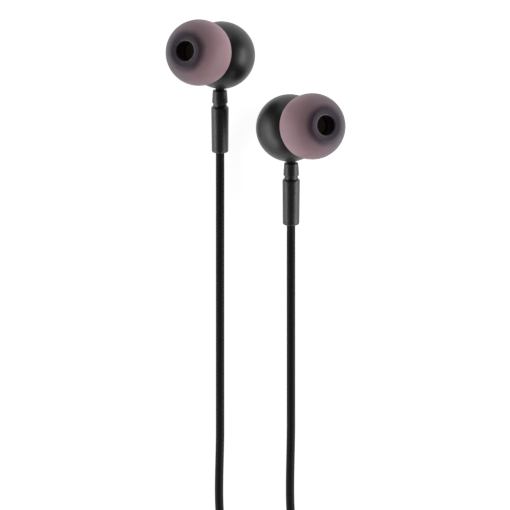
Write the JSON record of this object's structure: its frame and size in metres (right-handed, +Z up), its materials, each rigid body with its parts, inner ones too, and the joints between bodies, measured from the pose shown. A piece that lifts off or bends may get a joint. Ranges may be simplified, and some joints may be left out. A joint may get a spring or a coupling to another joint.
{
  "type": "wired earphones",
  "caption": "In-ear earphones with ball housings, silicone tips and cord stems, a splitter, a coiled main cord and a 3.5 mm plug.",
  "frame": {"origin": "on the table, below the middle of the two earbuds", "axes": "+Z up from the table, +X from the left earbud to the right one, -Y along the cords towards the coil"},
  "size_m": [0.0324, 0.148, 0.0196],
  "materials": {
    "satin_plastic": "satin moulded ABS",
    "inner_plastic": "moulded driver frame",
    "silicone": "translucent smoky silicone",
    "stem_rubber": "soft matte elastomer",
    "cord_jacket": "matte elastomer jacket",
    "screen_mesh": "fine dark woven wire",
    "steel": "stamped, plated",
    "nickel": "nickel plated magnet",
    "gold": "gold plated contact",
    "copper": "enamelled wire",
    "film": "thin polymer film",
    "board": "solder-masked board",
    "felt": "acoustic felt",
    "insulator": "plug insulator"
  },
  "bodies": {
    "cord_set": {"left_branch_cord": "cord_jacket", "right_branch_cord": "cord_jacket", "left_branch_tail": "cord_jacket", "right_branch_tail": "cord_jacket", "main_cord_start": "cord_jacket", "main_cord_end": "cord_jacket", "cord_coil": "cord_jacket", "coil_tie": "stem_rubber", "splitter": "satin_plastic", "plug_strain_relief": "stem_rubber", "plug_grip": "satin_plastic", "plug_sleeve_contact": "gold", "plug_insulator_1": "insulator", "plug_ring_contact": "gold", "plug_insulator_2": "insulator", "plug_tip_contact": "gold"},
    "left_earbud": {"left_nozzle_screen": "screen_mesh", "left_front_shell": "satin_plastic", "left_back_cap": "satin_plastic", "left_rear_damper": "felt", "left_driver_frame": "inner_plastic", "left_driver_yoke": "steel", "left_driver_magnet": "nickel", "left_driver_top_plate": "steel", "left_diaphragm_surround": "film", "left_driver_grille": "steel", "left_terminal_board": "board", "left_lead_wire_1": "copper", "left_lead_wire_2": "copper", "left_cord_anchor": "stem_rubber", "left_stem_collar": "stem_rubber", "left_stem_sleeve": "stem_rubber", "left_cord_stub": "cord_jacket"},
    "left_tip": {"left_ear_tip": "silicone"},
    "left_diaphragm_set": {"left_voice_coil": "copper", "left_diaphragm": "film"},
    "right_earbud": {"right_nozzle_screen": "screen_mesh", "right_front_shell": "satin_plastic", "right_back_cap": "satin_plastic", "right_rear_damper": "felt", "right_driver_frame": "inner_plastic", "right_driver_yoke": "steel", "right_driver_magnet": "nickel", "right_driver_top_plate": "steel", "right_diaphragm_surround": "film", "right_driver_grille": "steel", "right_terminal_board": "board", "right_lead_wire_1": "copper", "right_lead_wire_2": "copper", "right_cord_anchor": "stem_rubber", "right_stem_collar": "stem_rubber", "right_stem_sleeve": "stem_rubber", "right_cord_stub": "cord_jacket"},
    "right_tip": {"right_ear_tip": "silicone"},
    "right_diaphragm_set": {"right_voice_coil": "copper", "right_diaphragm": "film"}
  },
  "joints": [
    {"name": "left_lift", "type": "hinge", "parent": "cord_set", "child": "left_earbud", "pos_m": [-0.00653, -0.00733, 0.00082], "axis": [1, 0, 0], "range_deg": [0, 60]},
    {"name": "left_tip_pull", "type": "slide", "parent": "left_earbud", "child": "left_tip", "axis": [-0.4695, 0, 0.8829], "range_m": [0, 0.004]},
    {"name": "left_diaphragm_stroke", "type": "slide", "parent": "left_earbud", "child": "left_diaphragm_set", "axis": [-0.4695, 0, 0.8829], "range_m": [-0.0002, 0.0002], "stiffness_N_per_m": 20},
    {"name": "right_lift", "type": "hinge", "parent": "cord_set", "child": "right_earbud", "pos_m": [0.00653, -0.02063, 0.00082], "axis": [1, 0, 0], "range_deg": [0, 60]},
    {"name": "right_tip_pull", "type": "slide", "parent": "right_earbud", "child": "right_tip", "axis": [0.4695, 0, 0.8829], "range_m": [0, 0.004]},
    {"name": "right_diaphragm_stroke", "type": "slide", "parent": "right_earbud", "child": "right_diaphragm_set", "axis": [0.4695, 0, 0.8829], "range_m": [-0.0002, 0.0002], "stiffness_N_per_m": 20}
  ]
}
